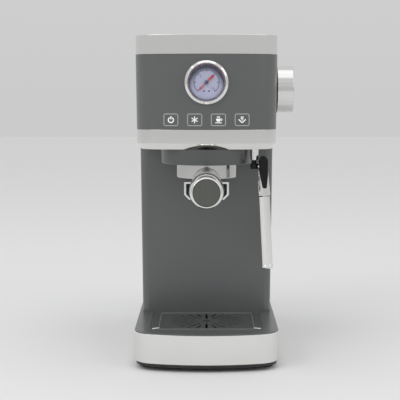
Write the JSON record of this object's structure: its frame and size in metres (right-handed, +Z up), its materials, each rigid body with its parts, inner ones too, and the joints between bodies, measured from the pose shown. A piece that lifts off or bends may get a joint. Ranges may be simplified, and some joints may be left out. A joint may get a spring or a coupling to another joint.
{
  "type": "espresso machine",
  "caption": "Slim pump espresso machine: locking portafilter, steam wand and knob, pressure gauge, keys, drip tray and lift-off water tank.",
  "frame": {"origin": "centre of the base's footprint, in the plane that the feet stand on", "axes": "-Y is the front, +X is the user's right, +Z is up"},
  "size_m": [0.1561, 0.3986, 0.321],
  "materials": {
    "satin_grey": "satin grey coat",
    "polished_steel": "polished",
    "brushed_steel": "brushed",
    "cast_aluminium": "cast",
    "grate_steel": "dark satin coat",
    "black_plastic": "moulded",
    "black_rubber": "matt",
    "clear_hose": "silicone",
    "copper_pipe": "drawn copper",
    "brass_fitting": "turned",
    "circuit_board": "glass-fibre board",
    "key_outline": "light grey",
    "dial_face": "printed dial",
    "needle_red": "red",
    "lens_clear": "clear",
    "tank_smoke": "smoky clear"
  },
  "bodies": {
    "housing": {"base_housing": "satin_grey", "column_shell": "satin_grey", "back_panel": "satin_grey", "head_shell": "satin_grey", "top_cover": "satin_grey", "head_floor": "satin_grey", "group_shroud": "satin_grey", "base_band": "polished_steel", "top_band": "polished_steel", "lower_band": "polished_steel", "gauge_bezel": "polished_steel", "wand_nut": "polished_steel", "warming_plate": "brushed_steel", "shower_screen": "brushed_steel", "screws": "brushed_steel", "group_head": "cast_aluminium", "thermoblock": "cast_aluminium", "base_pan": "black_plastic", "gauge_case": "black_plastic", "pump": "black_plastic", "solenoid_valve": "black_plastic", "feet": "black_rubber", "group_gasket": "black_rubber", "pump_mounts": "black_rubber", "cord_gland": "black_rubber", "hoses": "clear_hose", "steam_pipes": "copper_pipe", "steam_valve": "brass_fitting", "bourdon_tube": "brass_fitting", "control_board": "circuit_board", "power_board": "circuit_board", "key_frames": "key_outline", "gauge_dial": "dial_face", "gauge_lens": "lens_clear"},
    "steam_knob": {"steam_knob": "brushed_steel", "knob_face": "brushed_steel", "valve_spindle": "brass_fitting"},
    "power_key": {"key_power": "satin_grey"},
    "steam_key": {"key_steam": "satin_grey"},
    "coffee_key": {"key_coffee": "satin_grey"},
    "water_key": {"key_water": "satin_grey"},
    "portafilter": {"portafilter_bowl": "polished_steel", "filter_basket": "brushed_steel", "basket_spring": "brushed_steel", "twin_spout": "polished_steel", "handle_sleeve": "polished_steel", "handle_cap": "brushed_steel", "handle_rod": "brushed_steel"},
    "wand_joint": {"wand_swivel": "polished_steel"},
    "steam_wand": {"wand_pipe": "polished_steel", "wand_grip": "black_rubber", "wand_sleeve": "polished_steel"},
    "drip_tray": {"drip_tray": "satin_grey", "tray_band": "polished_steel", "tray_cover": "satin_grey"},
    "drip_grate": {"drip_grate": "grate_steel"},
    "water_tank": {"water_tank": "tank_smoke", "tank_valve": "black_plastic"},
    "tank_lid": {"tank_lid": "satin_grey"},
    "gauge_needle": {"gauge_needle": "needle_red"}
  },
  "joints": [
    {"name": "steam_knob_turn", "type": "hinge", "parent": "housing", "child": "steam_knob", "pos_m": [0.0697, -0.07, 0.2692], "axis": [1, 0, 0], "range_deg": [0, 270]},
    {"name": "power_key_press", "type": "slide", "parent": "housing", "child": "power_key", "axis": [0.1769, 0.9842, 0], "range_m": [0, 0.0008], "stiffness_N_per_m": 1000},
    {"name": "steam_key_press", "type": "slide", "parent": "housing", "child": "steam_key", "axis": [0.059, 0.9983, 0], "range_m": [0, 0.0008], "stiffness_N_per_m": 1000},
    {"name": "coffee_key_press", "type": "slide", "parent": "housing", "child": "coffee_key", "axis": [-0.059, 0.9983, 0], "range_m": [0, 0.0008], "stiffness_N_per_m": 1000},
    {"name": "water_key_press", "type": "slide", "parent": "housing", "child": "water_key", "axis": [-0.1769, 0.9842, 0], "range_m": [0, 0.0008], "stiffness_N_per_m": 1000},
    {"name": "portafilter_turn", "type": "hinge", "parent": "housing", "child": "portafilter", "pos_m": [0, -0.085, 0.1837], "axis": [0, 0, 1], "range_deg": [-45, 0]},
    {"name": "wand_turn", "type": "hinge", "parent": "housing", "child": "wand_joint", "pos_m": [0.0465, -0.106, 0.1946], "axis": [0, 0, 1], "range_deg": [-90, 45]},
    {"name": "wand_tilt", "type": "hinge", "parent": "wand_joint", "child": "steam_wand", "pos_m": [0.0548, -0.106, 0.1946], "axis": [1, 0, 0], "range_deg": [-30, 10]},
    {"name": "drip_tray_slide", "type": "slide", "parent": "housing", "child": "drip_tray", "axis": [0, -1, 0], "range_m": [0, 0.12]},
    {"name": "grate_lift", "type": "slide", "parent": "drip_tray", "child": "drip_grate", "axis": [0, 0, 1], "range_m": [0, 0.05]},
    {"name": "tank_lift", "type": "slide", "parent": "housing", "child": "water_tank", "axis": [0, 0, 1], "range_m": [0, 0.25]},
    {"name": "tank_lid_open", "type": "hinge", "parent": "water_tank", "child": "tank_lid", "pos_m": [0, 0.1485, 0.3039], "axis": [-1, 0, 0], "range_deg": [0, 85]},
    {"name": "gauge_needle_turn", "type": "hinge", "parent": "housing", "child": "gauge_needle", "pos_m": [0, -0.13, 0.2756], "axis": [0, 1, 0], "range_deg": [0, 270]}
  ]
}
